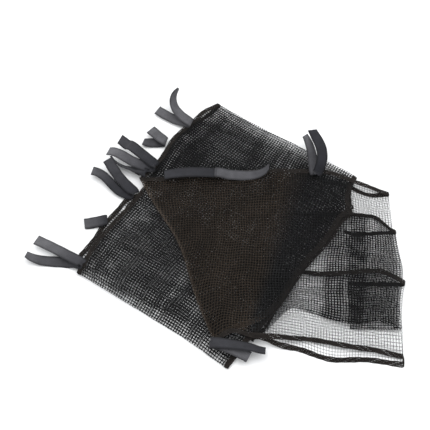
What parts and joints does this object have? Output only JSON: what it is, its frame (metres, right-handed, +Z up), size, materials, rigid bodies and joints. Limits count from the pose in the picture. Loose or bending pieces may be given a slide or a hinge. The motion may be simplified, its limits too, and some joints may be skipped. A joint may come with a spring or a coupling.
{
  "type": "trampoline safety net",
  "caption": "Strip of open mesh net with thick hems and sewn tie straps, folded back and forth and lying flat.",
  "frame": {"origin": "middle of the underside of the whole folded net's box, on the surface it lies on", "axes": "+Z up, +X to the right and +Y to the back as seen from the front, where the loose end's hems show"},
  "size_m": [0.8468, 0.7246, 0.059],
  "materials": {
    "net_mesh": "knitted black polyester mesh, slightly glossy yarn",
    "strap_webbing": "charcoal woven hook-and-loop tape, matt"
  },
  "bodies": {
    "root": {"net": "net_mesh", "strap_1": "strap_webbing", "strap_2": "strap_webbing", "strap_3": "strap_webbing", "strap_4": "strap_webbing", "strap_5": "strap_webbing", "strap_6": "strap_webbing", "strap_7": "strap_webbing", "strap_8": "strap_webbing", "strap_9": "strap_webbing", "strap_10": "strap_webbing"}
  },
  "joints": []
}
